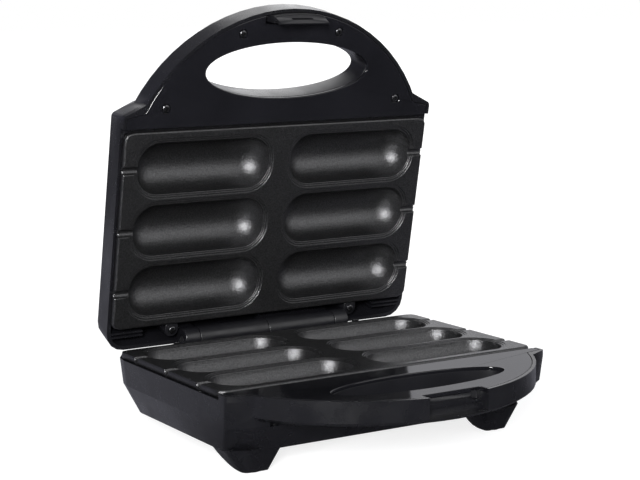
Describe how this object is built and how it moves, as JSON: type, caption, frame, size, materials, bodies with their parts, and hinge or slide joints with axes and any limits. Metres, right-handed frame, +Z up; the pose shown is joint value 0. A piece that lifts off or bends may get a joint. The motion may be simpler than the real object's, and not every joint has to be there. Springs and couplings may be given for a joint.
{
  "type": "corn dog maker",
  "caption": "Hinged corn dog maker standing open, with long cavities and stick channels in both non-stick plates, a bowed two-part handle and a latch.",
  "frame": {"origin": "middle of the footprint, on the worktop", "axes": "+Z up, +Y from the handle to the hinge, +X to the right seen from the handle; the lid stands open"},
  "size_m": [0.219, 0.2415, 0.2551],
  "materials": {
    "gloss_black": "glossy moulded",
    "non_stick": "satin non-stick coating on cast aluminium",
    "steel": "plated",
    "zinc_sheet": "zinc-coated sheet",
    "rubber": "matte",
    "red_lens": "translucent",
    "green_lens": "translucent",
    "glass": "clear",
    "ceramic": "unglazed",
    "insulation": "woven sleeve"
  },
  "bodies": {
    "base": {"base_housing": "gloss_black", "base_handle_cover": "gloss_black", "base_cover_screw_1": "steel", "base_cover_screw_2": "steel", "base_cover_screw_3": "steel", "base_cover_screw_4": "steel", "lower_plate": "non_stick", "lower_plate_screw_left": "steel", "lower_plate_screw_right": "steel", "lower_heating_element": "steel", "lower_heat_shield": "zinc_sheet", "lower_shield_screw_front": "steel", "lower_shield_screw_rear": "steel", "thermostat": "ceramic", "thermal_fuse": "insulation", "terminal_block": "ceramic", "hinge_rod": "steel", "cord_inlet_bush": "rubber", "foot_pad_front_left": "rubber", "foot_pad_front_right": "rubber", "foot_pad_rear_left": "rubber", "foot_pad_rear_right": "rubber"},
    "lid": {"lid_housing": "gloss_black", "lid_handle_cover": "gloss_black", "lid_cover_screw_1": "steel", "lid_cover_screw_2": "steel", "lid_cover_screw_3": "steel", "lid_cover_screw_4": "steel", "upper_plate": "non_stick", "upper_plate_screw_left": "steel", "upper_plate_screw_right": "steel", "upper_heating_element": "steel", "upper_heat_shield": "zinc_sheet", "upper_shield_screw_front": "steel", "upper_shield_screw_rear": "steel", "power_lamp_lens": "red_lens", "ready_lamp_lens": "green_lens", "power_neon_lamp": "glass", "ready_neon_lamp": "glass", "latch_pin": "steel"},
    "latch": {"latch": "gloss_black"}
  },
  "joints": [
    {"name": "lid_hinge", "type": "hinge", "parent": "base", "child": "lid", "pos_m": [0, 0.08599, 0.0493], "axis": [1, 0, 0], "range_deg": [0, 78.6]},
    {"name": "latch_pivot", "type": "hinge", "parent": "lid", "child": "latch", "pos_m": [0, 0.05179, 0.24776], "axis": [1, 0, 0], "range_deg": [0, 5]}
  ]
}
